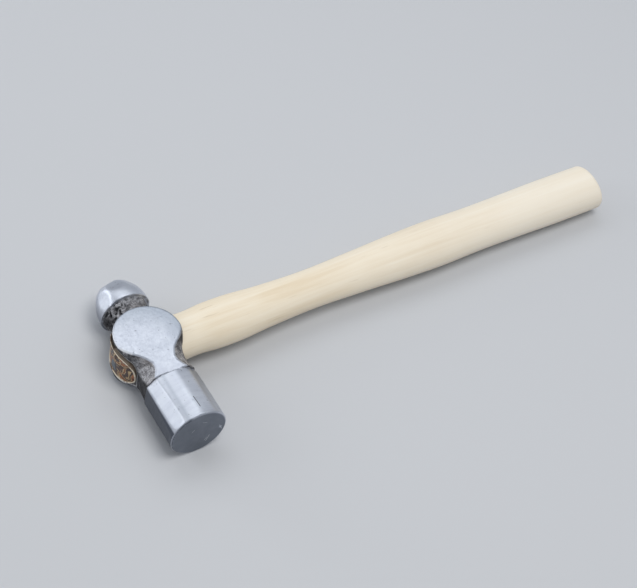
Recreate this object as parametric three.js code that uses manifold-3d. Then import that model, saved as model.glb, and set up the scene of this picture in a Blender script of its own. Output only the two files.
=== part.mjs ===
// Ball peen hammer lying on its side, in millimetres.
// +X runs along the handle from the head to the butt, +Y points the way the ball peen points,
// +Z is up, square to the two flat cheeks.  The group's origin is the middle of the bottom of
// the bounding box.  Inside the group everything is measured from the eye centre, where the
// handle's centre line crosses the head's.

import * as THREE from "three";
import { mergeVertices } from "three/addons/utils/BufferGeometryUtils.js";
import Module from "manifold-3d";

const wasm = await Module();
wasm.setup();

// ---- driving dimensions ----

const FACE_DIAMETER = 32;          // striking face
const FACE_CHAMFER = 0.8;
const FACE_Y = -59.8;              // plane of the striking face
const POLL_Y = -27.5;              // where the ground poll meets the forged neck
const BOSS_DIAMETER = 37.2;        // round boss around the eye
const CHEEK_THICKNESS = 27.4;      // across the two flat cheeks
const CHEEK_BEVEL = 0.4;
const NECK_HALF_WIDTH = 13.9;      // flat sides of the eight-sided neck
const PEEN_RIM_Y = 27.3;
const PEEN_DIAMETER = 29;
const PEEN_TIP_Y = 46.6;
const PEEN_FULLNESS = 2.2;         // exponent of the dome's outline
const EYE_LENGTH = 28.8;           // oval eye, along Y
const EYE_HEIGHT = 19.4;
const EYE_FULLNESS = 3;            // exponent of the oval, 2 is an ellipse
const EYE_WAIST = 0.95;            // the eye is this much smaller at its middle than at its mouths
const HANDLE_END_X = 299;
const BUTT_EDGE = 3;               // rounding of the butt's edge
const GAP = 0.3;                   // clearance between touching pieces

// ---- small helpers ----

const EIGHTH = Math.PI / 4;
const SEGMENTS = 64;               // a multiple of 16, so octagon corners fall on vertices

// Distance from the centre of a regular octagon of corner radius 1 to its edge.
function octagon(angle) {
  const fromFlat = angle - EIGHTH * Math.round(angle / EIGHTH);
  return Math.cos(EIGHTH / 2) / Math.cos(fromFlat);
}

// Distance from the centre of an oval to its edge, for half axes a and b.
function oval(angle, a, b, fullness) {
  const across = Math.abs(Math.cos(angle)) / a;
  const up = Math.abs(Math.sin(angle)) / b;
  return (across ** fullness + up ** fullness) ** (-1 / fullness);
}

// Smooth curve through [x, y] stations, read at x.
function station(points, x) {
  const last = points.length - 1;
  const i = Math.max(0, Math.min(last - 1, points.findIndex((p) => p[0] > x) - 1));
  if (x >= points[last][0]) return points[last][1];
  const t = (x - points[i][0]) / (points[i + 1][0] - points[i][0]);
  const slope = (k) => {
    const a = points[Math.max(0, k - 1)];
    const b = points[Math.min(last, k + 1)];
    return (b[1] - a[1]) / (b[0] - a[0]);
  };
  const span = points[i + 1][0] - points[i][0];
  const rise = 3 * t ** 2 - 2 * t ** 3;
  const leaving = span * slope(i) * (t ** 3 - 2 * t ** 2 + t);
  const arriving = span * slope(i + 1) * (t ** 3 - t ** 2);
  return points[i][1] * (1 - rise) + points[i + 1][1] * rise + leaving + arriving;
}

// A lathe about Y whose round section is reshaped.  profile lists [radius, y] from the low end's
// centre to the high end's; shape(angle, y) is the factor on the radius.  Angle runs from +X to +Z.
function shapedLathe(profile, shape = () => 1, segments = SEGMENTS) {
  const points = profile.map(([r, y]) => new THREE.Vector2(r, y));
  const geometry = new THREE.LatheGeometry(points, segments);
  const position = geometry.attributes.position;
  for (let i = 0; i < position.count; i += 1) {
    const angle = Math.atan2(position.getZ(i), position.getX(i));
    const radius = Math.hypot(position.getX(i), position.getZ(i));
    const factor = radius > 1e-6 ? shape(angle, position.getY(i)) : 1;
    position.setX(i, position.getX(i) * factor);
    position.setZ(i, position.getZ(i) * factor);
  }
  return geometry;
}

// Turns a geometry built about Y so that it runs along X, with its own X along Y.
function alongX(geometry) {
  return geometry.applyMatrix4(new THREE.Matrix4().set(0, 1, 0, 0, 1, 0, 0, 0, 0, 0, -1, 0, 0, 0, 0, 1));
}

function box(x0, x1, y0, y1, z0, z1) {
  const geometry = new THREE.BoxGeometry(x1 - x0, y1 - y0, z1 - z0);
  return geometry.translate((x0 + x1) / 2, (y0 + y1) / 2, (z0 + z1) / 2);
}

// A wedge that is thick at x0 and thin at x1; thickness runs along Z.
function wedge(x0, x1, halfLength, thick, thin) {
  const outline = new THREE.Shape();
  outline.moveTo(x0, -thick / 2);
  outline.lineTo(x1, -thin / 2);
  outline.lineTo(x1, thin / 2);
  outline.lineTo(x0, thick / 2);
  outline.closePath();
  const geometry = new THREE.ExtrudeGeometry(outline, { depth: 2 * halfLength, bevelEnabled: false });
  return geometry.rotateX(Math.PI / 2).translate(0, halfLength, 0);
}

// An upright cylinder centred on the eye.
function upright(radius, height) {
  return new THREE.CylinderGeometry(radius, radius, height, 96).rotateX(Math.PI / 2);
}

function solid(geometry) {
  const bare = geometry.clone();
  bare.deleteAttribute("normal");
  bare.deleteAttribute("uv");
  const merged = mergeVertices(bare, 1e-4);
  const vertProperties = new Float32Array(merged.attributes.position.array);
  const triVerts = new Uint32Array(merged.index.array);
  return new wasm.Manifold(new wasm.Mesh({ numProp: 3, vertProperties, triVerts }));
}

function toGeometry(manifold) {
  const mesh = manifold.getMesh();
  const geometry = new THREE.BufferGeometry();
  geometry.setAttribute("position", new THREE.BufferAttribute(new Float32Array(mesh.vertProperties), 3));
  geometry.setIndex(new THREE.BufferAttribute(new Uint32Array(mesh.triVerts), 1));
  geometry.computeVertexNormals();
  return geometry;
}

// ---- head ----

const FACE_R = FACE_DIAMETER / 2;
const BOSS_R = BOSS_DIAMETER / 2;
const CHEEK_Z = CHEEK_THICKNESS / 2;
const PEEN_R = PEEN_DIAMETER / 2;

// Eight-sided at the waist, round at the face, with the corners kept on the full radius.
function poll() {
  const stations = [0, 0.25, 0.5, 0.7, 0.85, 1];
  const faceStart = FACE_Y + FACE_CHAMFER;
  const sides = stations.map((t) => [FACE_R, faceStart + (POLL_Y - faceStart) * t]);
  const profile = [[0, FACE_Y], [FACE_R - FACE_CHAMFER, FACE_Y], ...sides, [0, POLL_Y]];
  const roundness = (y) => 0.1 + 0.9 * THREE.MathUtils.smoothstep(POLL_Y - y, 5, POLL_Y - faceStart);
  return solid(shapedLathe(profile, (angle, y) => THREE.MathUtils.lerp(octagon(angle), 1, roundness(y))));
}

// Corner radius of the eight-sided forging at stations along Y, from the poll to the boss.
const FLANKS = [
  [15.4, -24.6], [15.2, -20], [15.8, -16.2], [17, -13.4], [18.9, -10.6], [21.5, -8.1], [23.4, -5],
];

// Forged neck between the poll and the boss, hollowed along its length and flat on its sides.
function pollNeck() {
  const sides = [[FACE_R - 0.1, POLL_Y - 0.2], [15.9, -26.9], ...FLANKS];
  const profile = [[0, POLL_Y - 0.2], ...sides, [0, -5]];
  const limits = box(-NECK_HALF_WIDTH, NECK_HALF_WIDTH, POLL_Y - 1, 0, -CHEEK_Z, CHEEK_Z);
  const flare = box(-FACE_R, FACE_R, POLL_Y - 1, POLL_Y + 1.1, -FACE_R, FACE_R);
  return solid(shapedLathe(profile, octagon)).intersect(solid(limits).add(solid(flare)));
}

// A round boss with flat cheeks, forged away on the slant towards the poll.
function boss() {
  const edge = CHEEK_Z - CHEEK_BEVEL;
  const profile = [
    [0, -CHEEK_Z], [BOSS_R - CHEEK_BEVEL, -CHEEK_Z], [BOSS_R, -edge],
    [BOSS_R, edge], [BOSS_R - CHEEK_BEVEL, CHEEK_Z], [0, CHEEK_Z],
  ];
  const flanks = [[0, -24.6], ...FLANKS, [25.2, -2], [28, 0], [28, BOSS_R + 1], [0, BOSS_R + 1]];
  const round = solid(shapedLathe(profile, undefined, 96).rotateX(Math.PI / 2));
  return round.intersect(solid(shapedLathe(flanks, octagon)));
}

// Rough neck, rim and ground dome in one turned outline.
function peen() {
  const neck = [[12.6, 8], [12.2, 14], [11.2, 17.5], [11, 20], [11.5, 22.6], [12.6, 24.6], [12.9, 26.2]];
  const rise = PEEN_TIP_Y - PEEN_RIM_Y;
  const steps = 12;
  const dome = [];
  for (let i = 0; i < steps; i += 1) {
    const up = Math.sin((i / steps) * Math.PI / 2);
    dome.push([PEEN_R * (1 - up ** PEEN_FULLNESS) ** (1 / PEEN_FULLNESS), PEEN_RIM_Y + rise * up]);
  }
  return solid(shapedLathe([[0, 8], ...neck, ...dome, [0, PEEN_TIP_Y]]));
}

// The oval hole through the boss along X, narrowest at its middle.
function eye(clearance, reach) {
  const waist = [0, 0.25, 0.5, 0.75, 1];
  const stations = [...waist.map((t) => -t).reverse(), ...waist.slice(1)].map((t) => t * BOSS_R);
  const flare = (x) => EYE_WAIST + (1 - EYE_WAIST) * Math.min(1, Math.abs(x) / BOSS_R) ** 2;
  const ends = [-reach, ...stations, reach];
  const profile = [[0, -reach], ...ends.map((x) => [1, x]), [0, reach]];
  const edge = (angle, x) => {
    const halfLength = EYE_LENGTH / 2 * flare(x) - clearance;
    const halfHeight = EYE_HEIGHT / 2 * flare(x) - clearance;
    return oval(angle, halfLength, halfHeight, EYE_FULLNESS);
  };
  return solid(alongX(shapedLathe(profile, edge, 48)));
}

const headSolid = boss().add(poll()).add(pollNeck()).add(peen()).subtract(eye(0, BOSS_R + 6));

// ---- handle ----

const BUTT_HALF_WIDTH = 15.2;
// Half widths along Y at stations along X: eye, swell, slim waist, swell of the grip and butt.
const HANDLE_WIDTH = [
  [10, 13.5], [20, 13.55], [26, 13.45], [37, 14.3], [50, 14.4], [70, 13.05], [100, 12.05],
  [130, 13], [160, 14.4], [182, 15], [212, 14.45], [240, 14.75],
  [265, BUTT_HALF_WIDTH], [HANDLE_END_X, BUTT_HALF_WIDTH],
];
const HANDLE_FLATNESS = 0.725;     // half thickness over half width
const SHOULDER_X = 18.8;
const TENON_END_X = -19.6;         // the tenon stands a little proud of the boss
const TENON_END_R = 19.6;          // and its end is trimmed to this upright round
const POCKET_DEPTH = 1.6;          // shallow resin pocket in the tenon's end
const POCKET_HALF_LENGTH = 13.2;
const POCKET_HALF_HEIGHT = 8.6;
const KERF = { end: 6, halfLength: 15, mouth: 3, root: 1.2 };
const KERF_WEDGE = { end: 4, halfLength: 11.6 };
const CROSS_WEDGE = { end: -7, halfLength: 5.4, thick: 4.6, thin: 1.4, y: 0.8 };

function handleBlank(start) {
  const steps = 34;
  const xs = [];
  for (let i = 0; i <= steps; i += 1) {
    xs.push(start + (HANDLE_END_X - BUTT_EDGE - start) * i / steps);
  }
  const rounding = [0.35, 0.7, 1].map((t) => {
    const turn = t * Math.PI / 2;
    const inward = (1 - Math.cos(turn)) * BUTT_EDGE / BUTT_HALF_WIDTH;
    return [1 - inward, HANDLE_END_X - BUTT_EDGE * (1 - Math.sin(turn))];
  });
  const profile = [[0, start], ...xs.map((x) => [1, x]), ...rounding, [0, HANDLE_END_X]];
  const edge = (angle, x) => {
    const halfWidth = station(HANDLE_WIDTH, x);
    return oval(angle, halfWidth, halfWidth * HANDLE_FLATNESS, 2);
  };
  return solid(alongX(shapedLathe(profile, edge, 48)));
}

function pocket(clearance) {
  const halfLength = POCKET_HALF_LENGTH - clearance;
  const halfHeight = POCKET_HALF_HEIGHT - clearance;
  const edge = (angle) => oval(angle, halfLength, halfHeight, EYE_FULLNESS);
  return solid(alongX(shapedLathe([[0, -24], [1, -24], [1, -8], [0, -8]], edge, 48)));
}

// Everything on the handle's side of the tenon's round end, moved inwards by the inset.
function behindEnd(inset) {
  const centre = TENON_END_X + TENON_END_R;
  const round = upright(TENON_END_R - inset, 60).translate(centre, 0, 0);
  return solid(round).add(solid(box(centre, 330, -30, 30, -30, 30)));
}

function kerfWedge() {
  const { mouth, root, end } = KERF;
  const thick = mouth - 2 * GAP;
  const thin = thick - (mouth - root) * (KERF_WEDGE.end - TENON_END_X) / (end - TENON_END_X);
  return solid(wedge(TENON_END_X, KERF_WEDGE.end, KERF_WEDGE.halfLength, thick, thin));
}

function crossWedge(clearance) {
  const { end, halfLength, thick, thin, y } = CROSS_WEDGE;
  const extra = 2 * clearance;
  const start = TENON_END_X - 1;
  const shape = wedge(start, end + clearance, halfLength + clearance, thick + extra, thin + extra);
  return solid(shape.rotateX(Math.PI / 2).translate(0, y, 0));
}

const blankStart = SHOULDER_X - 8;
const tenonStop = box(TENON_END_X - 10, SHOULDER_X + 1, -30, 30, -30, 30);
const tenon = eye(GAP, SHOULDER_X + 3).intersect(behindEnd(0)).intersect(solid(tenonStop));
const shoulder = handleBlank(blankStart).subtract(solid(upright(BOSS_R + GAP, 60)));
const kerf = solid(wedge(TENON_END_X - 4, KERF.end, KERF.halfLength, KERF.mouth + 0.3, KERF.root));
const resinPocket = pocket(0).subtract(behindEnd(POCKET_DEPTH));
const handleSolid = tenon.add(shoulder).subtract(kerf).subtract(resinPocket).subtract(crossWedge(GAP));

const crossWedgeSolid = crossWedge(0).intersect(behindEnd(0.2));
const kerfWedgeSolid = kerfWedge().intersect(behindEnd(POCKET_DEPTH)).subtract(crossWedge(GAP));
const sealSolid = pocket(GAP)
  .intersect(behindEnd(0.3))
  .subtract(behindEnd(POCKET_DEPTH - GAP))
  .subtract(crossWedge(GAP));

// ---- materials and assembly ----

const steel = new THREE.MeshStandardMaterial({ color: 0xaab2c2, roughness: 0.34, metalness: 1 });
const ash = new THREE.MeshStandardMaterial({ color: 0xe6d3ae, roughness: 0.55, metalness: 0 });
const hardwood = new THREE.MeshStandardMaterial({ color: 0x8a5a30, roughness: 0.6, metalness: 0 });
const wedgeSteel = new THREE.MeshStandardMaterial({ color: 0x59616b, roughness: 0.45, metalness: 1 });
const resin = new THREE.MeshStandardMaterial({ color: 0x6b3416, roughness: 0.25, metalness: 0 });

const pieces = [
  ["head", headSolid, steel],
  ["handle", handleSolid, ash],
  ["kerf_wedge", kerfWedgeSolid, hardwood],
  ["cross_wedge", crossWedgeSolid, wedgeSteel],
  ["eye_seal", sealSolid, resin],
];

const hammer = new THREE.Group();
for (const [name, piece, material] of pieces) {
  const mesh = new THREE.Mesh(toGeometry(piece), material);
  mesh.name = name;
  hammer.add(mesh);
}

const extent = new THREE.Box3().setFromObject(hammer);
const middle = extent.getCenter(new THREE.Vector3());
hammer.position.set(-middle.x, -middle.y, -extent.min.z);

export default hammer;
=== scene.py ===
"""A ball peen hammer lying on its side: forged and ground steel head, pale wooden handle,
wedges and brown resin in the eye.

Shapes are worked out in millimetres from the eye centre: +x along the handle to the butt, +y
towards the ball peen, +z up, square to the flat cheeks. A piece is moved to the frame and
scaled to metres when its mesh is made.
"""

import math

import bpy
import numpy as np
from mathutils import Matrix, Vector


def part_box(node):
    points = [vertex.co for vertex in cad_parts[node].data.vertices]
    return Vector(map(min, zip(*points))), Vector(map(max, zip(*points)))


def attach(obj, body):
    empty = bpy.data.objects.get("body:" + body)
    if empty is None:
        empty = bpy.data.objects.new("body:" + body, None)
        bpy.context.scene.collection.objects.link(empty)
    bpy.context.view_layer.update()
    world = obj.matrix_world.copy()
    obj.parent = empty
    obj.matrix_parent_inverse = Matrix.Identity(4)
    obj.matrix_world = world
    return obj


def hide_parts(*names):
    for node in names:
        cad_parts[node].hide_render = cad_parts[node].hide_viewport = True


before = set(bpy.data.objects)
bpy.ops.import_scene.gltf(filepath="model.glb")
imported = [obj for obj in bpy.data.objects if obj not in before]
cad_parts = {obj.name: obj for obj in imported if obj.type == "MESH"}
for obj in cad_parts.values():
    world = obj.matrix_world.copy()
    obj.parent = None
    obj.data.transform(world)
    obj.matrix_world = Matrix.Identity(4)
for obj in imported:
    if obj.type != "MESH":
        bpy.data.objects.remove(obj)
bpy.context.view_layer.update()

MM = 0.001

# ---- places and sizes taken from the frame ----

head_low, head_high = (np.array(corner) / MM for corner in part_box("head"))
handle_low, handle_high = (np.array(corner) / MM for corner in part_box("handle"))

CHEEK_Z = 13.7                                   # half the distance across the cheeks
BOSS_R = (head_high[0] - head_low[0]) / 2
FACE_R = (head_high[2] - head_low[2]) / 2
PEEN_TIP = 46.6
EYE = np.array([
    (head_low[0] + head_high[0]) / 2,
    head_high[1] - PEEN_TIP,
    (head_low[2] + head_high[2]) / 2,
])
FACE_Y = head_low[1] - EYE[1]
POLL_Y = -27.5                                   # the ground poll starts here
RIM_Y = 27.3                                     # lower edge of the ground dome
RIM_R = 14.5
EYE_A, EYE_B = 14.4, 9.3                         # half axes of the oval eye at its mouths
BUTT_X = handle_high[0] - EYE[0]
TENON_X = handle_low[0] - EYE[0]
TENON_R = -TENON_X                               # the tenon's end is trimmed to this round
MOUTH_BEVEL = 2.0                                # worn bevel round the eye's outer mouth
EYE_FLARE = 0.05                                 # how much wider the mouths are than the middle
EYE_FULLNESS = 3                                 # power of the eye's oval
EYE_SKEW = 0.13                                  # the oval leans a little at the outer mouth


# ---- numbers ----

def smooth_max(a, b, k):
    """The larger of two fields, with the step between them rounded over about k."""
    h = np.clip(0.5 + 0.5 * (a - b) / k, 0, 1)
    return a * h + b * (1 - h) + k * h * (1 - h)


def smooth_min(a, b, k):
    """The smaller of two fields, rounded in the same way."""
    return -smooth_max(-a, -b, k)


def portion(value, low, high):
    """0 up to low, 1 from high, straight between."""
    return np.clip((value - low) / (high - low), 0, 1)


def ease(t):
    """Turns a straight rise from 0 to 1 into one that starts and ends level."""
    return t * t * (3 - 2 * t)


def curve(points, x):
    """Smooth curve through (x, y) points, read at x."""
    xs, ys = np.array(points, float).T
    slopes = np.gradient(ys, xs)
    i = np.clip(np.searchsorted(xs, x) - 1, 0, len(xs) - 2)
    span = xs[i + 1] - xs[i]
    t = np.clip((x - xs[i]) / span, 0, 1)
    rise = ease(t)
    bend = span * (slopes[i] * t * (1 - t) ** 2 - slopes[i + 1] * t * t * (1 - t))
    return ys[i] * (1 - rise) + ys[i + 1] * rise + bend


def lattice(cell, seed):
    """A fixed random number from -1 to 1 for each whole-number cell."""
    h = (cell * np.array([374761393, 668265263, 2147483647])).sum(axis=-1) + seed * 974634777
    h = (h ^ (h >> 13)) * 1274126177 & 0xFFFFFFFF
    return ((h ^ (h >> 16)) & 0xFFFF) / 32767.5 - 1


def noise(points, size, seed=0):
    """Smooth noise from -1 to 1 with bumps about one size across."""
    p = points / size
    cell = np.floor(p).astype(np.int64)
    t = ease(p - cell)
    total = 0
    for dx in (0, 1):
        for dy in (0, 1):
            for dz in (0, 1):
                corner = np.array([dx, dy, dz])
                weight = np.abs(1 - corner - t).prod(axis=-1)
                total = total + weight * lattice(cell + corner, seed)
    return total


def oval(y, z, a, b, power):
    """Under 0 inside an oval, roughly in millimetres. A larger power fills out its corners."""
    ring = ((np.abs(y) / a) ** power + (np.abs(z) / b) ** power) ** (1 / power)
    return (ring - 1) * b


def oval_radius(angle, a, b, power):
    """Radius of the same oval at an angle from +y towards +z."""
    across, up = np.abs(np.cos(angle)), np.abs(np.sin(angle))
    return ((across / a) ** power + (up / b) ** power) ** (-1 / power)


# ---- meshing a solid given by a field ----

def surface_net(field, low, high, step):
    """Vertices and quads of the surface where field is 0; field is negative inside.

    Each grid cell that the surface crosses has one vertex, at the mean of its edge crossings,
    and each crossed grid edge has one quad between the four cells round it.
    """
    axes = [np.arange(a, b + step, step) for a, b in zip(low, high)]
    slabs = [
        field(np.stack(np.meshgrid([x], axes[1], axes[2], indexing="ij"), axis=-1))[0]
        for x in axes[0]
    ]
    value = np.stack(slabs)
    inside = value < 0
    cells = np.array(value.shape) - 1
    total = np.zeros((cells.prod(), 3))
    count = np.zeros(cells.prod())
    quads = []
    for axis in range(3):
        second, third = (axis + 1) % 3, (axis + 2) % 3
        near = [slice(None)] * 3
        far = [slice(None)] * 3
        near[axis], far[axis] = slice(None, -1), slice(1, None)
        near, far = tuple(near), tuple(far)
        edge = np.argwhere(inside[near] != inside[far])
        start, end = value[near][tuple(edge.T)], value[far][tuple(edge.T)]
        point = edge.astype(float)
        point[:, axis] += start / (start - end)
        around = []
        for back_second, back_third in ((1, 1), (0, 1), (0, 0), (1, 0)):
            cell = edge.copy()
            cell[:, second] -= back_second
            cell[:, third] -= back_third
            flat = np.ravel_multi_index(tuple(cell.T), cells)
            np.add.at(total, flat, point)
            np.add.at(count, flat, 1)
            around.append(flat)
        quad = np.stack(around, axis=1)
        quad[start > 0] = quad[start > 0][:, ::-1]
        quads.append(quad)
    used = np.flatnonzero(count)
    number = np.zeros(len(count), np.int64)
    number[used] = np.arange(len(used))
    vertices = total[used] / count[used, None] * step + np.array(low)
    return vertices, number[np.concatenate(quads)]


def slope(field, points, h=0.02):
    """The field's rise per millimetre along each axis."""
    steps = np.eye(3) * h
    return np.stack([(field(points + s) - field(points - s)) / (2 * h) for s in steps], axis=-1)


def settle(field, points, rounds=3):
    """Moves points onto the surface where field is 0, and gives the outward normals there."""
    for _ in range(rounds):
        g = slope(field, points)
        size = np.maximum((g * g).sum(axis=-1), 0.05)
        points = points - np.clip(field(points) / size, -0.4, 0.4)[..., None] * g
    g = slope(field, points)
    return points, g / np.maximum(np.linalg.norm(g, axis=-1), 1e-6)[..., None]


def make_mesh(name, vertices, faces):
    """A new smooth object from vertices in millimetres from the eye centre."""
    mesh = bpy.data.meshes.new(name)
    mesh.from_pydata(((vertices + EYE) * MM).tolist(), [], [tuple(map(int, face)) for face in faces])
    mesh.polygons.foreach_set("use_smooth", [True] * len(mesh.polygons))
    mesh.update()
    piece = bpy.data.objects.new(name, mesh)
    bpy.context.scene.collection.objects.link(piece)
    return piece


AROUND = 120                                     # points in a ring of the handle or a plug
ANGLE = np.linspace(0, 2 * math.pi, AROUND, endpoint=False)


def closed_stack(first, rings, last):
    """Vertices and faces of a closed skin through rings of AROUND points, with a point at either end."""
    vertices = np.concatenate([[first], *rings, [last]])
    end = 1 + (len(rings) - 1) * AROUND
    faces = []
    for k in range(AROUND):
        n = (k + 1) % AROUND
        faces.append((0, 1 + n, 1 + k))
        for near in range(1, end, AROUND):
            far = near + AROUND
            faces.append((near + k, near + n, far + n, far + k))
        faces.append((end + k, end + n, len(vertices) - 1))
    return vertices, faces


def add_attribute(piece, name, values):
    """Stores a number on each vertex, for the material to read."""
    attribute = piece.data.attributes.new(name, "FLOAT", "POINT")
    attribute.data.foreach_set("value", np.asarray(values, np.float32))


# ---- head ----

# Each flat ground along the poll: the angle it faces, from +x towards +z, its distance from the
# axis at the face and at the waist, and how softly it rolls into its neighbours.
POLL_FLATS = [
    (102, 15.8, 14.3, 1.2), (0, 15.5, 15.0, 0.22), (40, 15.6, 14.9, 0.22), (72, 15.6, 14.5, 1.0),
    (134.5, 15.5, 15.3, 0.22), (176, 15.6, 14.7, 0.22), (222, 15.6, 15.2, 0.22), (270, 15.9, 15.3, 0.22),
    (315, 15.6, 15.2, 0.22),
]
FLATS_FADE, FADE_DEPTH = 4.5, 0.8                # the flats run out this close to the face, by this much
FACE_BEVEL, CHEEK_BEVEL = 0.75, 0.32
# Distance from the head's axis to the flats of the forged neck and boss, at places along y.
NECK_APOTHEM = [
    (-27.6, 16.3), (-26.6, 16.0), (-24.4, 15.1), (-20, 14.15), (-16.2, 14.6), (-13.4, 15.7),
    (-10.6, 17.5), (-8.1, 19.9), (-5, 21.7), (-2, 23.3), (0, 26),
]
NECK_HALF_HEIGHT, NECK_HALF_WIDTH = 14.1, 13.9
NECK_END, PEEN_NECK_START = -5, 8                # where the two necks end inside the boss
# Radius of the round neck under the ball, at places along y.
PEEN_NECK = [
    (8, 12.8), (14, 12.2), (17.5, 11.3), (20, 11), (22.6, 11.7), (24.6, 12.6), (26.2, 12.9), (29, 12.9),
]
# Flats left on the dome by hand grinding: the angle each faces, from +x towards +z, its lift towards
# the tip, and the depth of the cut.
DOME_FLATS = [
    (140, 10, 0.8), (96, 27, 0.75), (50, 25, 0.5), (112, 58, 0.7), (10, 20, 0.4),
    (188, 25, 0.6), (240, 22, 0.5), (300, 22, 0.5), (20, 60, 0.6),
]
DOME_SHIFT = 0.5                                 # the dome sits a little towards the handle
DOME_POWER, DOME_REACH_POWER = 2.2, 1.83         # of the dome's curve, and of its reach in a direction
FACE_PIT = (12.7, -0.45, -1.7)                   # centre of a chip in the striking face, from its plane
FACE_PIT_R = 0.95
HALF_ROOT = 0.7071                               # square root of a half, for 45 degree flats
NET_CELL, NET_MARGIN = 0.44, 0.9                 # grid that the head is meshed on


def turned(angle):
    """Cosine and sine of an angle in degrees."""
    return math.cos(math.radians(angle)), math.sin(math.radians(angle))


def turn_of(points):
    """The angle of points round the head's axis in degrees, from +x towards +z."""
    return np.degrees(np.arctan2(points[:, 2], points[:, 0])) % 360


def poll_field(p):
    """The ground poll: a round bar with flats, bevelled at the striking face."""
    x, y, z = p[..., 0], p[..., 1], p[..., 2]
    toward_waist = portion(y, FACE_Y, POLL_Y)
    fade = FADE_DEPTH * portion(y, FACE_Y + FLATS_FADE, FACE_Y) ** 2
    round_part = np.hypot(x, z) - FACE_R
    body = round_part
    for angle, at_face, at_waist, softness in POLL_FLATS:
        across, up = turned(angle)
        flat = x * across + z * up - (at_face + (at_waist - at_face) * toward_waist) - fade
        body = smooth_max(body, flat, softness)
    chamfer = (round_part + FACE_Y - y + FACE_BEVEL) * HALF_ROOT
    ends = np.maximum(smooth_max(FACE_Y - y, chamfer, 0.25), y - POLL_Y)
    return smooth_max(body, ends, 0.2)


def dome_field(p):
    """The ground ball peen above its ragged lower edge."""
    x, y, z = p[..., 0] - DOME_SHIFT, p[..., 1], p[..., 2]
    rise = PEEN_TIP - RIM_Y
    body = oval(np.clip(y - RIM_Y, 0, None), np.hypot(x, z), rise, RIM_R, DOME_POWER)
    for angle, lift, depth in DOME_FLATS:
        across, side = turned(angle)
        out, along = turned(lift)
        reach = (RIM_R * out) ** DOME_REACH_POWER + (rise * along) ** DOME_REACH_POWER
        reach = reach ** (1 / DOME_REACH_POWER)
        cut = (x * across + z * side) * out + (y - RIM_Y) * along - reach + depth
        body = smooth_max(body, cut, 0.35)
    ragged = RIM_Y - 0.6 - y + 0.45 * noise(p, 2.6, 11) + 0.2 * noise(p, 1.1, 12)
    return smooth_max(body, ragged, 0.3)


def forged_field(p):
    """The rough forging: boss, eight-sided neck and round peen neck."""
    x, y, z = p[..., 0], p[..., 1], p[..., 2]
    wander = 0.22 * noise(p, 5.0, 3) + 0.1 * noise(p, 2.2, 4)
    boss = np.maximum(np.hypot(x, y) - BOSS_R, np.abs(z) - CHEEK_Z - 0.5)
    apothem = curve(NECK_APOTHEM, y)
    slant = (np.abs(x) + np.abs(z)) * HALF_ROOT - apothem
    boss = smooth_max(boss, slant + 0.6 * wander, 0.7)
    neck = smooth_max(slant, np.abs(z) - NECK_HALF_HEIGHT, 0.3)
    neck = smooth_max(neck, np.abs(x) - np.minimum(apothem, NECK_HALF_WIDTH), 1.0)
    neck = np.maximum(neck, np.maximum(POLL_Y - y, y - NECK_END))
    peen = np.hypot(x, z) - curve(PEEN_NECK, y)
    peen = np.maximum(peen, np.maximum(PEEN_NECK_START - y, y - RIM_Y - 1))
    body = smooth_min(boss, neck + wander, 1.6)
    return smooth_min(body, peen + wander, 2.2)


def cheek_field(p):
    """The two ground cheek planes, which end at the poll."""
    y, z = p[..., 1], p[..., 2]
    return np.minimum(np.abs(z) - CHEEK_Z, y - POLL_Y + 0.3)


def lean(x, z):
    """How far the eye's oval leans along y at its outer mouth."""
    return EYE_SKEW * z * np.clip(-x / BOSS_R, 0, 1)


def flare(x):
    """Size of the eye's oval at x, next to its size at the mouths."""
    return 1 - EYE_FLARE + EYE_FLARE * np.clip(np.abs(x) / BOSS_R, 0, 1) ** 2


def eye_field(p):
    """The hole for the handle: an oval narrowest in the middle, with a worn outer mouth."""
    x, y, z = p[..., 0], p[..., 1], p[..., 2]
    bevel = np.clip(np.hypot(x, y) - BOSS_R + MOUTH_BEVEL, 0, MOUTH_BEVEL) * (x < 0)
    bevel = bevel * (1 - 0.4 * np.clip(np.abs(y) / EYE_A, 0, 1) ** 2)
    return oval((y - lean(x, z)) / flare(x), z / flare(x), EYE_A, EYE_B, EYE_FULLNESS) - bevel


def head_field(p):
    """The whole head, with the edges of the cheeks bevelled and the eye cut through."""
    forged, cheek = forged_field(p), cheek_field(p)
    middle = np.maximum(np.maximum(forged, cheek), (forged + cheek) * HALF_ROOT + CHEEK_BEVEL)
    body = np.minimum(middle, np.minimum(poll_field(p), dome_field(p)))
    body = smooth_max(body, -eye_field(p), 0.3)
    pit = np.linalg.norm(p - (np.array(FACE_PIT) + (0, FACE_Y, 0)), axis=-1) - FACE_PIT_R
    return np.maximum(body, -pit)


def ground_share(p):
    """1 on ground steel, 0 on forging scale, with a narrow change between."""
    ground = np.maximum(-poll_field(p), -dome_field(p))
    on_poll_or_dome = np.clip(1 + ground / 0.12, 0, 1)
    cheek = np.clip(0.5 + (cheek_field(p) - forged_field(p) + 0.4) / 0.2, 0, 1)
    return np.maximum(on_poll_or_dome, cheek) * (eye_field(p) > 0.4)


def edge_highlight_share(p):
    """1 on the edges of the eye's worn outer mouth and of the cheek above it, painted bright as a
    highlight.
    """
    x, y, z = p[..., 0], p[..., 1], p[..., 2]
    forged = np.abs(forged_field(p))
    mouth = np.maximum(forged, np.abs(eye_field(p)))
    mouth = np.clip(1.7 - mouth / 0.28, 0, 1) * (x < -8)
    edge = np.maximum(forged, np.abs(cheek_field(p)))
    edge = np.clip(1.9 - edge / 0.26, 0, 1) * (x < -3) * (y > -9) * (y < 10)
    return 0.8 * np.maximum(mouth, edge)


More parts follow.
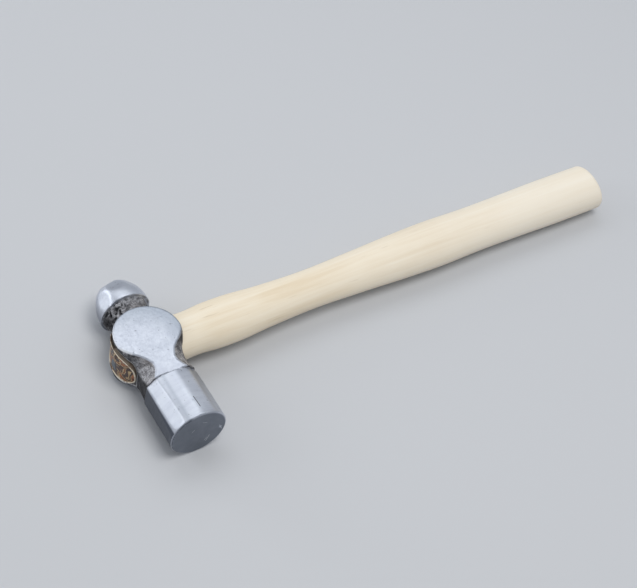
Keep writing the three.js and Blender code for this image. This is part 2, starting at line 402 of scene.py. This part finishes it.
def crumbling(points):
    """Scale pits, and how far the skin has crumbled, which is most on the peen neck's outer side."""
    pits = np.clip(np.maximum(noise(points, 1.7, 9), noise(points, 1.1, 10)) - 0.15, 0, 1)
    crumbled = portion(points[:, 1], 12, 18) * np.clip(0.6 - points[:, 0] / 12, 0.25, 1.3)
    return pits, crumbled


def painted_shade_share(points, cheek):
    """Painted shade: 1 on flats on one side, on the dome's flank and on the face's rim, darkened to stand
    in for the dark surroundings they mirror.
    """
    x, y, z = points.T
    turn = turn_of(points)
    on_flats = portion(turn, 151.5, 154.5) * portion(turn, 246, 243)
    on_dome = 0.6 * portion(turn, 150, 175) * portion(turn, 260, 220)
    on_dome = on_dome * portion(y, PEEN_TIP, PEEN_TIP - 14)
    rim = portion(y, FACE_Y + 0.96, FACE_Y + 0.16) * (np.hypot(x, z) > FACE_R - 0.85)
    on_rim = rim * portion(turn, 104, 112) * portion(turn, 240, 220)
    return np.where(y < FACE_Y + 0.9, on_rim, np.where(y < 0, on_flats, on_dome) * (1 - cheek))


def soot_and_shade_share(points, normals, pits, crumbled):
    """1 where forging soot stays in crumbled pits, and painted shade on steep walls and on the ramp up to
    the boss.
    """
    x, y = points[:, 0], points[:, 1]
    # Painted shade: walls are darkened by how far they turn from upward.
    walls = portion(np.abs(normals[:, 2]), 0.65, 0.15) * np.where(x > 0, 0.6, 1)
    in_pits = np.clip(pits * 3, 0, 1) * np.clip(crumbled, 0, 1)
    # Painted shade on the ramp up to the boss, which faces -y.
    ramp = 0.9 * portion(-normals[:, 1], 0.35, 0.65) * (y < -2) * (y > -17)
    return np.maximum(np.maximum(walls, in_pits), ramp)


def painted_sheen_share(points, cheek):
    """1 on the ground steel at full brightness, less towards the far side of the cheeks as a painted
    fading reflection, and less on one strip of the poll as painted shade.
    """
    x, y = points[:, 0], points[:, 1]
    # Painted sheen: the cheeks fade away from one bright spot, like a reflection.
    on_cheek = 1 - portion(np.hypot(x + 5, y + 4), 9, 25) * portion(x + y, -14, 6)
    # Painted shade on one strip of the poll.
    painted_shade_strip = portion(np.abs(turn_of(points) - 112.5), 6, 0) * (y < POLL_Y)
    return np.where(cheek, on_cheek, 1 - 0.55 * painted_shade_strip)


def build_head():
    margin = np.full(3, NET_MARGIN)
    low = np.array([-BOSS_R, FACE_Y, -FACE_R]) - margin
    high = np.array([BOSS_R, PEEN_TIP, FACE_R]) + margin
    vertices, quads = surface_net(head_field, low, high, NET_CELL)
    vertices, normals = settle(head_field, vertices)
    ground = ground_share(vertices)
    # Scale, pits and hammered dimples sink the forged skin, and never raise it.
    scale = 0.5 * noise(vertices, 2.6, 7) + 0.5 * noise(vertices, 1.2, 8)
    pits, crumbled = crumbling(vertices)
    sink = 0.06 + 0.07 * scale + pits * (0.1 + 0.9 * crumbled)
    vertices = vertices - normals * (np.clip(sink, 0, 1) * (1 - ground))[:, None]
    vertices = np.clip(vertices, head_low - EYE, head_high - EYE)
    piece = make_mesh("head_forging", vertices, quads)
    y, z = vertices[:, 1], vertices[:, 2]
    cheek = (ground > 0.5) * (np.abs(y + 3) < 24.2) * (np.abs(z) > CHEEK_Z - 0.5)
    add_attribute(piece, "ground", ground)
    # Painted highlight along the edges of the eye's outer mouth and of the cheek above it.
    add_attribute(piece, "painted_edge_highlight", edge_highlight_share(vertices))
    add_attribute(piece, "striking", portion(y, FACE_Y + 0.35, FACE_Y))
    add_attribute(piece, "cheek", cheek)
    # Painted shade on flats on one side, on the dome's flank and on the face's rim.
    add_attribute(piece, "painted_dark_side", painted_shade_share(vertices, cheek) * (ground > 0.5))
    # Soot in the crumbled pits, with painted shade on steep walls and on the ramp up to the boss.
    add_attribute(piece, "soot_and_shade", soot_and_shade_share(vertices, normals, pits, crumbled))
    # Painted sheen fading across the cheeks, and painted shade on one strip of the poll.
    add_attribute(piece, "painted_sheen", painted_sheen_share(vertices, cheek))
    return piece


# ---- handle ----

# Half the grip's width, at places along x.
HANDLE_WIDTH = [
    (-30, 13.2), (0, 13.2), (10, 13.5), (20, 13.55), (26, 13.45), (37, 14.3), (50, 14.4), (70, 13.05),
    (100, 12.05), (130, 13), (160, 14.4), (182, 15), (212, 14.45), (240, 14.75), (265, 15.2), (300, 15.2),
]
FLATNESS = 0.725                                 # height of the grip over its width
BUTT_EDGE = 3.0
TENON_GAP = 0.3                                  # between the tenon and the wall of the eye
MOUTH_X = -18                                    # the tenon's section is taken here at its end
POCKET_A, POCKET_B, POCKET_DEPTH = 13.5, 8.6, 1.6    # the hollow in the tenon's end, for the resin
# The tenon's walls nearest its end are painted dark as shade in the gap next to the eye.
SHADED_WALL_RINGS = 7                                # of the tenon's walls, from its end
END_SHARES = np.concatenate([np.linspace(0.08, 0.88, 11), np.linspace(0.9, 1, 14)])


def section(x, angle):
    """Radius of the handle's section at x: the eye's oval in the eye, changing to the grip's."""
    half = curve(HANDLE_WIDTH, np.array([x]))[0]
    tenon = oval_radius(angle, EYE_A * flare(x) - TENON_GAP, EYE_B * flare(x) - TENON_GAP, EYE_FULLNESS)
    grip = oval_radius(angle, half, half * FLATNESS, 2)
    blend = ease(portion(x, 8, 20))
    return tenon * (1 - blend) + grip * blend


def tenon_end(y):
    """Where the tenon ends, trimmed to the round of the boss."""
    return TENON_X + TENON_R - np.sqrt(TENON_R ** 2 - y ** 2)


def ring(x, radius, sideways=0.0):
    """A ring of points round the handle's axis. x is one place or a place for each point."""
    return np.stack([x + 0 * ANGLE, radius * np.cos(ANGLE) + sideways, radius * np.sin(ANGLE)], axis=-1)


def build_handle():
    rings = []
    # The end of the tenon: the floor of its pocket in the middle, then the rim round it.
    for share in END_SHARES:
        radius = section(MOUTH_X, ANGLE) * share
        y, z = radius * np.cos(ANGLE), radius * np.sin(ANGLE)
        pocket = POCKET_DEPTH * portion(-oval(y, z, POCKET_A, POCKET_B, EYE_FULLNESS), 0, 0.12)
        worn = 0.2 * portion(share, 0.985, 1) ** 2
        sideways = lean(-BOSS_R, z)
        rings.append(ring(tenon_end(y + sideways) + pocket + worn, radius, sideways))
    # The walls of the tenon, then the grip with its faint shaving marks.
    stations = np.concatenate([
        [MOUTH_X], np.linspace(-13, 12, 12), np.linspace(13.5, BUTT_X - BUTT_EDGE, 190),
    ])
    for x in stations:
        radius = section(x, ANGLE)
        if x > 20:
            shave = 1 + 0.004 * np.sin(5 * ANGLE + x / 31) + 0.003 * np.sin(9 * ANGLE - x / 17)
            radius = radius * np.minimum(shave, 1.0)
        sideways = lean(x, radius * np.sin(ANGLE))
        end = tenon_end(radius * np.cos(ANGLE) + sideways)
        start = np.maximum(x, end + 0.4) if x > MOUTH_X else end + 0.2
        rings.append(ring(start, radius, sideways))
    # The rounded edge of the butt, then its flat end.
    last = section(BUTT_X - BUTT_EDGE, ANGLE)
    for turn in np.linspace(0.12, 1, 9) * math.pi / 2:
        inward, back = BUTT_EDGE * (1 - math.cos(turn)), BUTT_EDGE * (1 - math.sin(turn))
        rings.append(ring(BUTT_X - back, last - inward))
    for share in (0.75, 0.5, 0.25):
        rings.append(ring(BUTT_X, (last - BUTT_EDGE) * share))
    vertices, faces = closed_stack([TENON_X + POCKET_DEPTH, 0, 0], rings, [BUTT_X, 0, 0])
    piece = make_mesh("handle_wood", vertices, faces)
    walls = 1 + len(END_SHARES) * AROUND
    # Painted shade on the tenon's walls nearest its end, where they meet the eye.
    painted_gap_shade = np.zeros(len(vertices))
    painted_gap_shade[walls:walls + SHADED_WALL_RINGS * AROUND] = 1
    add_attribute(piece, "painted_gap_shade", painted_gap_shade)
    add_attribute(piece, "end_grain", portion(vertices[:, 0], BUTT_X - 1.6, BUTT_X - 0.6))
    return piece


# ---- what fills the eye ----

def domed_patch(name, half_y, half_z, power, inset, depth, relief, centre=(0.0, 0.0)):
    """A closed oval plug, depth thick. Its outer side lies inset plus relief(y, z) below the
    tenon's end.
    """
    reach = oval_radius(ANGLE, half_y, half_z, power)
    layers = []
    for share in END_SHARES:
        z = centre[1] + reach * share * np.sin(ANGLE)
        y = centre[0] + reach * share * np.cos(ANGLE) + lean(-BOSS_R, z)
        worn = 0.2 * portion(share, 0.97, 1) ** 2
        below = np.maximum(inset + worn + relief(y, z), 0)
        layers.append(np.stack([tenon_end(y) + below, y, z], axis=-1))
    back = layers[-1].copy()
    back[:, 0] = tenon_end(back[:, 1]) + inset + depth
    layers.append(back)
    outer = tenon_end(centre[0]) + inset
    first = [outer + relief(np.array(centre[0]), np.array(centre[1])), *centre]
    vertices, faces = closed_stack(first, layers, [outer + depth, *centre])
    return make_mesh(name, vertices, faces)


def bumps(y, z, size, seed, layer=0):
    """Noise over the end of the tenon."""
    return noise(np.stack([y * 1.0, z * 1.0, y * 0 + layer], axis=-1), size, seed)


def build_seal():
    """The resin. It covers the upper half of the cross wedge's end and leaves the lower half bare."""
    def relief(y, z):
        over_wedge = portion(z, -0.4, 0.4) * portion(np.abs(y - 1.2), 3.4, 2.6)
        return 0.2 + 0.25 * bumps(y, z, 3.2, 21) + 0.12 * bumps(y, z, 1.5, 22) - 0.5 * over_wedge
    return domed_patch("eye_resin", POCKET_A - 0.2, POCKET_B - 0.2, EYE_FULLNESS, 0.35, 0.95, relief)


def build_cross_wedge():
    def relief(y, z):
        return 0.05 + 0.06 * bumps(y, z, 1.4, 31, layer=5)
    return domed_patch("cross_wedge_steel", 2.3, 5.2, 8, 0.2, 7.0, relief, centre=(0.8, -0.6))


def build_kerf_wedge():
    def relief(y, z):
        return 0.0 * y
    return domed_patch("kerf_wedge_wood", 11.6, 1.15, 8, 1.35, 14.0, relief)


# ---- materials ----

class Nodes:
    """Adds shader nodes and links them in one call each."""

    def __init__(self, name):
        self.material = bpy.data.materials.new(name)
        self.material.use_nodes = True
        self.tree = self.material.node_tree
        self.shader = self.tree.nodes["Principled BSDF"]

    def add(self, kind, settings=(), **inputs):
        """A node with its settings and inputs. An input is given by name, or as i0, i1 by number."""
        node = self.tree.nodes.new(kind)
        for key, value in dict(settings).items():
            setattr(node, key, value)
        for key, value in inputs.items():
            numbered = key[0] == "i" and key[1:].isdigit()
            self.feed(node.inputs[int(key[1:]) if numbered else key.replace("_", " ")], value)
        return node

    def feed(self, socket, value):
        if isinstance(value, bpy.types.NodeSocket):
            self.tree.links.new(value, socket)
        else:
            socket.default_value = value

    def here(self):
        """Object coordinates, in metres."""
        return self.add("ShaderNodeTexCoord").outputs["Object"]

    def place(self, scale):
        """Object coordinates stretched by scale along each axis."""
        return self.add("ShaderNodeMapping", Vector=self.here(), Scale=scale).outputs[0]

    def noise(self, scale, vector=None, detail=3.0, distortion=0.0, rough=0.55):
        vector = vector or self.here()
        return self.add(
            "ShaderNodeTexNoise", Vector=vector, Scale=scale, Detail=detail,
            Distortion=distortion, Roughness=rough,
        ).outputs["Fac"]

    def ramp(self, value, stops):
        node = self.add("ShaderNodeValToRGB", Fac=value)
        for _ in range(len(stops) - 2):
            node.color_ramp.elements.new(0.5)
        for element, (position, colour) in zip(node.color_ramp.elements, stops):
            element.position = position
            element.color = (*colour, 1)
        return node.outputs["Color"]

    def mix(self, share, a, b):
        """Colour a where share is 0, b where it is 1."""
        node = self.add("ShaderNodeMix", {"data_type": "RGBA"})
        self.feed(node.inputs["Factor"], share)
        self.feed(node.inputs[6], a)
        self.feed(node.inputs[7], b)
        return node.outputs[2]

    def blend(self, share, a, b):
        """Number a where share is 0, b where it is 1."""
        node = self.add("ShaderNodeMix", {"data_type": "FLOAT"})
        self.feed(node.inputs[0], share)
        self.feed(node.inputs[2], a)
        self.feed(node.inputs[3], b)
        return node.outputs[0]

    def math(self, operation, a, b=0.0):
        return self.add("ShaderNodeMath", {"operation": operation}, i0=a, i1=b).outputs[0]

    def span(self, value, low, high, to_low=0.0, to_high=1.0):
        """Carries value from low..high to to_low..to_high, and holds it there."""
        return self.add(
            "ShaderNodeMapRange", Value=value, From_Min=low, From_Max=high, To_Min=to_low, To_Max=to_high,
        ).outputs[0]

    def mark(self, start, end, width):
        """1 along the line between two places in millimetres, 0 beyond its width."""
        start, end = (EYE + start) * MM, (EYE + end) * MM
        run = end - start
        offset = self.add("ShaderNodeVectorMath", {"operation": "SUBTRACT"}, i0=self.here(), i1=start)
        offset = offset.outputs[0]
        along = self.add(
            "ShaderNodeVectorMath", {"operation": "DOT_PRODUCT"}, i0=offset, i1=run / (run @ run),
        ).outputs["Value"]
        along = self.span(along, 0, 1)
        nearest = self.add("ShaderNodeVectorMath", {"operation": "SCALE"}, i0=run, Scale=along).outputs[0]
        away = self.add("ShaderNodeVectorMath", {"operation": "DISTANCE"}, i0=offset, i1=nearest)
        return self.span(away.outputs["Value"], 0.4 * width * MM, width * MM, 1, 0)

    def attribute(self, name):
        return self.add("ShaderNodeAttribute", {"attribute_name": name}).outputs["Fac"]

    def bump(self, height, strength, distance, normal=None):
        node = self.add("ShaderNodeBump", Height=height, Strength=strength, Distance=distance)
        if normal:
            self.feed(node.inputs["Normal"], normal)
        return node.outputs[0]

    def finish(self, **inputs):
        for key, value in inputs.items():
            self.feed(self.shader.inputs[key.replace("_", " ")], value)
        return self.material


# Pale scratches on the striking face: both ends in x and z, and the width.
FACE_SCRATCHES = [
    ((4.6, -9.4), (6.4, -5.2), 0.3), ((3.6, -8.6), (5.0, -6.4), 0.22), ((11.9, 0.2), (13.4, -3.6), 0.3),
    ((-4.5, 3.0), (-2.8, 4.6), 0.18), ((1.5, 8.5), (4.0, 7.4), 0.16),
]


def on_poll(angle, y):
    """The place on the poll's surface at an angle from +x towards +z."""
    across, up = turned(angle)
    return settle(poll_field, np.array([15.5 * across, y, 15.5 * up]))[0]


def steel_material():
    """Satin ground steel on the worked faces, dark pitted scale on the forged ones."""
    n = Nodes("forged_and_ground_steel")
    ground, striking, cheek = n.attribute("ground"), n.attribute("striking"), n.attribute("cheek")
    # Grinding lines run round the poll and the dome, and every way on the cheeks.
    lines = n.noise(1.0, n.place((260, 2600, 260)), detail=4, rough=0.65)
    swirl = n.noise(900, detail=4, distortion=0.6)
    grind = n.blend(cheek, lines, swirl)
    cloud = n.noise(110, detail=3)
    streak = n.noise(1.0, n.place((90, 500, 90)), detail=3)
    streak = n.blend(cheek, streak, n.noise(260, detail=4))
    tone = n.math("ADD", n.math("MULTIPLY", cloud, 0.6), n.math("MULTIPLY", streak, 0.4))
    bright = n.ramp(tone, [
        (0.3, (0.55, 0.58, 0.65)), (0.5, (0.64, 0.67, 0.74)), (0.7, (0.71, 0.74, 0.80)),
    ])
    # Painted sheen and shade: the ground steel dims towards the far side of the cheeks and on one strip
    # of the poll.
    bright = n.mix(n.attribute("painted_sheen"), (0.40, 0.44, 0.50, 1), bright)
    # Painted shade: the striking face is darkened to stand in for the dark surroundings it mirrors.
    painted_dark_face = n.mix(cloud, (0.15, 0.168, 0.20, 1), (0.24, 0.262, 0.305, 1))
    worked = n.mix(striking, bright, painted_dark_face)
    # Painted shade: flats on one side, the dome's flank and the face's rim are darkened as if they
    # mirrored dark surroundings.
    worked = n.mix(n.attribute("painted_dark_side"), worked, (0.10, 0.112, 0.138, 1))
    specks = n.span(n.noise(620, detail=3), 0.655, 0.72)
    worked = n.mix(n.math("MULTIPLY", specks, 0.5), worked, (0.16, 0.17, 0.19, 1))
    gouge = n.mark(on_poll(82, -47), on_poll(81, -54), 0.32)
    worked = n.mix(gouge, worked, (0.10, 0.10, 0.11, 1))
    for start, end, width in FACE_SCRATCHES:
        line = n.mark(np.array([start[0], FACE_Y, start[1]]), np.array([end[0], FACE_Y, end[1]]), width)
        worked = n.mix(n.math("MULTIPLY", line, 0.7), worked, (0.62, 0.64, 0.68, 1))
    scale_tone = n.noise(1300, detail=4, rough=0.7)
    blotch = n.noise(330, detail=3)
    mottle = n.math("ADD", n.math("MULTIPLY", scale_tone, 0.6), n.math("MULTIPLY", blotch, 0.4))
    scale = n.ramp(mottle, [
        (0.36, (0.12, 0.115, 0.12)), (0.5, (0.40, 0.395, 0.41)), (0.62, (0.75, 0.74, 0.76)),
    ])
    scale = n.mix(n.span(n.noise(70, detail=3), 0.5, 0.75, 0, 0.4), scale, (0.22, 0.16, 0.12, 1))
    # Near-black soot in the crumbled pits, and painted shade on steep walls and on the ramp up to the
    # boss.
    soot_and_shade = n.math("MULTIPLY", n.attribute("soot_and_shade"), 0.92)
    soot_and_shade_tone = n.ramp(mottle, [(0.35, (0.012, 0.012, 0.014)), (0.65, (0.055, 0.056, 0.062))])
    scale = n.mix(soot_and_shade, scale, soot_and_shade_tone)
    colour = n.mix(ground, scale, worked)
    # Painted highlight: a near-white, less metallic colour on the edges by the eye's outer mouth and the
    # cheek above it.
    colour = n.mix(n.attribute("painted_edge_highlight"), colour, (0.86, 0.87, 0.89, 1))
    ground_rough = n.span(grind, 0.3, 0.7, 0.33, 0.48)
    rough = n.blend(ground, n.span(mottle, 0.35, 0.65, 0.7, 0.5), ground_rough)
    fine = n.bump(grind, 0.22, 0.0002)
    pitted = n.bump(blotch, 0.7, 0.0008)
    coarse = n.bump(scale_tone, 0.8, 0.0004, pitted)
    normal = n.add("ShaderNodeMix", {"data_type": "VECTOR"})
    n.feed(normal.inputs[0], ground)
    n.feed(normal.inputs[4], coarse)
    n.feed(normal.inputs[5], fine)
    metal = n.blend(n.attribute("painted_edge_highlight"), n.blend(ground, 0.85, 1.0), 0.3)
    return n.finish(Base_Color=colour, Roughness=rough, Metallic=metal, Normal=normal.outputs[1])


RINGS_SHIFT = (0, 0.021, 0.014)                  # puts the centre of the growth rings beside the handle


def handle_material():
    """Pale straight-grained wood, sanded, with fine pores, a few soft stains and painted shade on the
    tenon's walls by the eye.
    """
    n = Nodes("pale_wood")
    bands = n.noise(1.0, n.place((9, 260, 260)), detail=4, distortion=0.5)
    pores = n.noise(1.0, n.place((70, 2200, 2200)), detail=3, rough=0.7)
    cloud = n.noise(16, detail=3)
    tone = n.math("ADD", n.math("MULTIPLY", bands, 0.6), n.math("MULTIPLY", cloud, 0.4))
    wood = n.ramp(tone, [
        (0.3, (0.74, 0.61, 0.43)), (0.5, (0.83, 0.73, 0.57)), (0.7, (0.88, 0.81, 0.68)),
    ])
    fleck = n.span(n.noise(1.0, n.place((45, 420, 420)), detail=2), 0.68, 0.78, 0, 0.35)
    wood = n.mix(fleck, wood, (0.46, 0.34, 0.2, 1))
    along = n.add("ShaderNodeSeparateXYZ", Vector=n.here()).outputs[0]
    # Growth rings show on the end of the butt.
    around = n.add("ShaderNodeMapping", Vector=n.here(), Location=RINGS_SHIFT).outputs[0]
    rings = n.add(
        "ShaderNodeTexWave", {"wave_type": "RINGS", "rings_direction": "X"},
        Vector=around, Scale=105, Distortion=1.6, Detail=3,
    ).outputs["Fac"]
    rings = n.math("MULTIPLY", n.span(rings, 0.45, 0.95, 0, 0.5), n.attribute("end_grain"))
    wood = n.mix(rings, wood, (0.52, 0.40, 0.26, 1))
    toward_butt = n.span(along, (EYE[0] + 60) * MM, (EYE[0] + 260) * MM, 0, 0.5)
    wood = n.mix(toward_butt, wood, (0.87, 0.81, 0.71, 1))
    near_eye = n.span(along, (EYE[0] - 13) * MM, (EYE[0] - 15) * MM)
    smear = n.span(n.noise(170, detail=3), 0.50, 0.60, 0.05, 0.85)
    wood = n.mix(n.math("MULTIPLY", near_eye, smear), wood, (0.10, 0.045, 0.02, 1))
    # Painted shade: the tenon's walls next to the eye are darkened.
    wood = n.mix(n.math("MULTIPLY", n.attribute("painted_gap_shade"), 0.85), wood, (0.09, 0.055, 0.035, 1))
    rough = n.span(pores, 0.3, 0.7, 0.5, 0.62)
    skin = n.bump(pores, 0.14, 0.0003)
    skin = n.bump(bands, 0.1, 0.0008, skin)
    n.shader.inputs["Specular IOR Level"].default_value = 0.35
    return n.finish(Base_Color=wood, Roughness=rough, Normal=skin)


def resin_material():
    """Glossy brown resin with orange body and thin cream streaks."""
    n = Nodes("brown_resin")
    swirl = n.noise(120, detail=2, distortion=2.2)
    body = n.ramp(swirl, [
        (0.30, (0.016, 0.006, 0.003)), (0.45, (0.07, 0.020, 0.007)), (0.49, (0.66, 0.48, 0.24)),
        (0.53, (0.09, 0.026, 0.009)), (0.60, (0.42, 0.13, 0.026)), (0.67, (0.05, 0.015, 0.006)),
    ])
    ripple = n.bump(n.noise(420, detail=3, distortion=1.5), 0.5, 0.0006)
    n.shader.inputs["Coat Weight"].default_value = 0.25
    n.shader.inputs["Coat Roughness"].default_value = 0.12
    return n.finish(Base_Color=body, Roughness=n.span(swirl, 0.3, 0.7, 0.3, 0.5), Normal=ripple)


def wedge_steel_material():
    n = Nodes("grey_wedge_steel")
    tone = n.noise(500, detail=4)
    colour = n.mix(tone, (0.10, 0.115, 0.13, 1), (0.30, 0.33, 0.36, 1))
    dents = n.bump(tone, 0.5, 0.0004)
    rough = n.span(tone, 0.3, 0.7, 0.45, 0.6)
    return n.finish(Base_Color=colour, Roughness=rough, Metallic=0.85, Normal=dents)


def wedge_wood_material():
    n = Nodes("stained_wedge_wood")
    grain = n.noise(1.0, n.place((1400, 300, 1400)), detail=4)
    colour = n.ramp(grain, [(0.3, (0.10, 0.05, 0.02)), (0.7, (0.38, 0.2, 0.08))])
    return n.finish(Base_Color=colour, Roughness=0.6, Normal=n.bump(grain, 0.3, 0.0003))


# ---- pieces and bodies ----

PIECES = [
    (build_head, steel_material, "head", "head_steel"),
    (build_handle, handle_material, "handle", "handle_wood"),
    (build_kerf_wedge, wedge_wood_material, "kerf_wedge", "wedge_wood"),
    (build_cross_wedge, wedge_steel_material, "cross_wedge", "wedge_steel"),
    (build_seal, resin_material, "eye_seal", "seal_resin"),
]
built = {}
for build, make_material, node, slot in PIECES:
    piece = build()
    piece.data.materials.append(make_material())
    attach(piece, "root")
    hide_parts(node)
    built[node] = piece


# ---- floor under the three points that the hammer rests on ----

FLOOR_REACH, FLOOR_GAP = 3.0, 0.0001             # metres


def lowest(points, tilt):
    """The lowest point above a plane with slopes tilt along x and y."""
    return points[np.argmin(points[:, 2] - points[:, 0] * tilt[0] - points[:, 1] * tilt[1])]


def resting_plane():
    """Slopes along x and y, and the height at the origin, of the plane under the hammer."""
    head_points = np.array([v.co for v in built["head"].data.vertices])
    handle_points = np.array([v.co for v in built["handle"].data.vertices])
    eye_y = EYE[1] * MM
    groups = [
        head_points[head_points[:, 1] < eye_y],
        head_points[head_points[:, 1] > eye_y],
        handle_points[handle_points[:, 0] > 0],
    ]
    tilt = (0.0, 0.0)
    for _ in range(8):
        contacts = np.array([lowest(group, tilt) for group in groups])
        system = np.column_stack([contacts[:, :2], np.ones(3)])
        *tilt, height = np.linalg.solve(system, contacts[:, 2])
    return *tilt, height


def build_floor():
    slope_x, slope_y, height = resting_plane()
    corners = []
    for x, y in ((-1, -1), (1, -1), (1, 1), (-1, 1)):
        x, y = x * FLOOR_REACH, y * FLOOR_REACH
        corners.append((x, y, height + slope_x * x + slope_y * y - FLOOR_GAP))
    mesh = bpy.data.meshes.new("floor")
    mesh.from_pydata(corners, [], [(0, 1, 2, 3)])
    floor = bpy.data.objects.new("floor", mesh)
    bpy.context.scene.collection.objects.link(floor)
    n = Nodes("pale_floor")
    n.finish(Base_Color=(0.56, 0.57, 0.59, 1), Roughness=0.7)
    n.shader.inputs["Specular IOR Level"].default_value = 0.2
    floor.data.materials.append(n.material)


build_floor()


# ---- light ----

LIGHTS_AIM = Vector(EYE * MM) + Vector((0.06, 0, 0))
STEEL_LIGHT = (0.95, 0.975, 1.0)                 # colour of the boxes that the steel mirrors


def softbox(name, direction, distance, size, radiance, colour=STEEL_LIGHT, mirrored=True):
    """A rectangular light facing its aim, in metres. Its radiance stays the same at any size."""
    light = bpy.data.lights.new(name, "AREA")
    light.shape = "RECTANGLE"
    light.size, light.size_y = size
    light.energy = radiance * math.pi * size[0] * size[1]
    light.color = colour
    lamp = bpy.data.objects.new(name, light)
    bpy.context.scene.collection.objects.link(lamp)
    toward = Vector(direction).normalized()
    lamp.location = LIGHTS_AIM + toward * distance
    lamp.rotation_euler = toward.to_track_quat("Z", "Y").to_euler()
    lamp.visible_glossy = mirrored


# The key lights the wood and the floor; the dimmer boxes are what the steel mirrors.
softbox("key", (0.12, -0.30, 1.0), 1.3, (0.6, 0.6), 7.2, (1.0, 0.99, 0.97), mirrored=False)
softbox("cheek_box", (0.15, 0.50, 0.82), 1.2, (1.3, 0.6), 1.2)
softbox("left_box", (-0.78, 0.42, 0.46), 1.1, (0.55, 0.5), 1.45)
softbox("right_box", (0.80, 0.45, 0.36), 1.3, (0.5, 0.5), 0.35)
softbox("dome_box", (-0.50, 0.85, 0.20), 1.1, (0.45, 0.5), 2.3)

world = bpy.data.worlds.new("studio")
bpy.context.scene.world = world
world.use_nodes = True
backdrop = world.node_tree.nodes["Background"]
backdrop.inputs["Color"].default_value = (0.80, 0.84, 0.90, 1)
backdrop.inputs["Strength"].default_value = 0.48

# ---- camera ----

CAMERA_AZIMUTH, CAMERA_ELEVATION, CAMERA_ROLL = -39.47, 49.7, 11.75
CAMERA_DEPTH = 850.2                             # from the lens to the eye centre, along the lens axis
LENS_WIDTHS = 2.512                              # focal length in frame widths
SENSOR_WIDTH = 36
EYE_RIGHT, EYE_DOWN = -0.10734, 0.03436          # the eye centre's offset from the axis, over its depth


def build_camera():
    azimuth, elevation = math.radians(CAMERA_AZIMUTH), math.radians(CAMERA_ELEVATION)
    back = Vector((
        math.sin(azimuth) * math.cos(elevation),
        -math.cos(azimuth) * math.cos(elevation),
        math.sin(elevation),
    ))
    right = Vector((math.cos(azimuth), math.sin(azimuth), 0))
    up = back.cross(right)
    axes = Matrix((right, up, back)).transposed()
    axes = axes @ Matrix.Rotation(math.radians(CAMERA_ROLL), 3, "Z")
    offset = Vector((EYE_RIGHT, -EYE_DOWN, -1)) * CAMERA_DEPTH * MM
    camera = bpy.data.objects.new("camera", bpy.data.cameras.new("camera"))
    bpy.context.scene.collection.objects.link(camera)
    camera.data.sensor_width = SENSOR_WIDTH
    camera.data.lens = SENSOR_WIDTH * LENS_WIDTHS
    camera.data.clip_start = 0.01
    camera.matrix_world = Matrix.Translation(Vector(EYE * MM) - axes @ offset) @ axes.to_4x4()
    bpy.context.scene.camera = camera


build_camera()
bpy.context.scene.view_settings.view_transform = "Standard"
